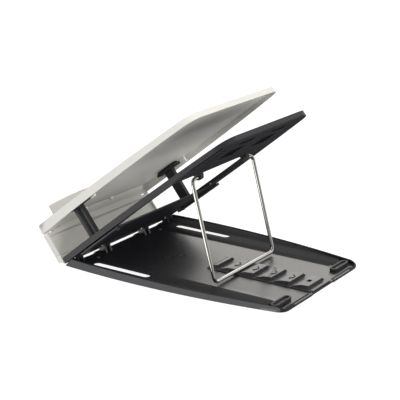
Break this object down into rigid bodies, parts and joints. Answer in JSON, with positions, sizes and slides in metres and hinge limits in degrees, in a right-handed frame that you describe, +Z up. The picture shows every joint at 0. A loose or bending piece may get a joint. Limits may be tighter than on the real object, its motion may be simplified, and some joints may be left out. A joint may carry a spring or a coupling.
{
  "type": "laptop stand",
  "caption": "Folding laptop stand: shallow dark tray, tilting shelf propped by a bent wire bail in a notched ridge, and a light lid with a ledge on top.",
  "frame": {"origin": "on the desk, below the middle of the whole stand", "axes": "+X to the right of a person who sits at the hinge edge, +Y from the hinge edge to the rear, +Z up"},
  "size_m": [0.2658, 0.4166, 0.2535],
  "materials": {
    "dark_plastic": "moulded, fine satin grain",
    "light_plastic": "moulded, smooth satin, light warm grey",
    "chrome_wire": "bright plated wire",
    "steel": "plain steel",
    "rubber": "matt black rubber"
  },
  "bodies": {
    "tray": {"base_tray": "dark_plastic", "ratchet_ridge": "dark_plastic", "rear_lug_right": "dark_plastic", "rear_lug_left": "dark_plastic", "foot_1": "rubber", "foot_2": "rubber", "foot_3": "rubber", "foot_4": "rubber", "tray_screw_1": "steel", "tray_screw_2": "steel", "lug_screw_1": "steel", "lug_screw_2": "steel", "lug_screw_3": "steel", "lug_screw_4": "steel", "hinge_pin_right_1": "steel", "hinge_pin_right_2": "steel", "hinge_pin_left_1": "steel", "hinge_pin_left_2": "steel"},
    "shelf": {"shelf_frame": "dark_plastic", "side_strip_right": "dark_plastic", "strip_screw_right_1": "steel", "strip_screw_right_2": "steel", "side_strip_left": "dark_plastic", "strip_screw_left_1": "steel", "strip_screw_left_2": "steel", "post_right": "dark_plastic", "post_pad_right": "rubber", "post_left": "dark_plastic", "post_pad_left": "rubber", "front_wall": "light_plastic", "wall_screw_right_1": "steel", "wall_screw_right_2": "steel", "wall_screw_left_1": "steel", "wall_screw_left_2": "steel", "lid_pin_right": "steel", "lid_pin_left": "steel"},
    "bail": {"bail": "chrome_wire"},
    "lid": {"cover": "light_plastic", "grip_pad_1": "rubber", "grip_pad_2": "rubber", "grip_pad_3": "rubber", "grip_pad_4": "rubber"},
    "ledge": {"ledge": "light_plastic", "ledge_pin_right_1": "steel", "ledge_pin_right_2": "steel", "ledge_pin_left_1": "steel", "ledge_pin_left_2": "steel"}
  },
  "joints": [
    {"name": "shelf_tilt", "type": "hinge", "parent": "tray", "child": "shelf", "pos_m": [0, -0.1388, 0.014], "axis": [1, 0, 0], "range_deg": [0, 4]},
    {"name": "bail_swing", "type": "hinge", "parent": "shelf", "child": "bail", "pos_m": [0, 0.04102, 0.15129], "axis": [1, 0, 0], "range_deg": [0, 108]},
    {"name": "lid_lift", "type": "hinge", "parent": "shelf", "child": "lid", "pos_m": [0, -0.1926, 0.04147], "axis": [1, 0, 0], "range_deg": [0, 75]},
    {"name": "ledge_fold", "type": "hinge", "parent": "lid", "child": "ledge", "pos_m": [0, -0.19306, 0.06238], "axis": [-1, 0, 0], "range_deg": [0, 90]}
  ]
}
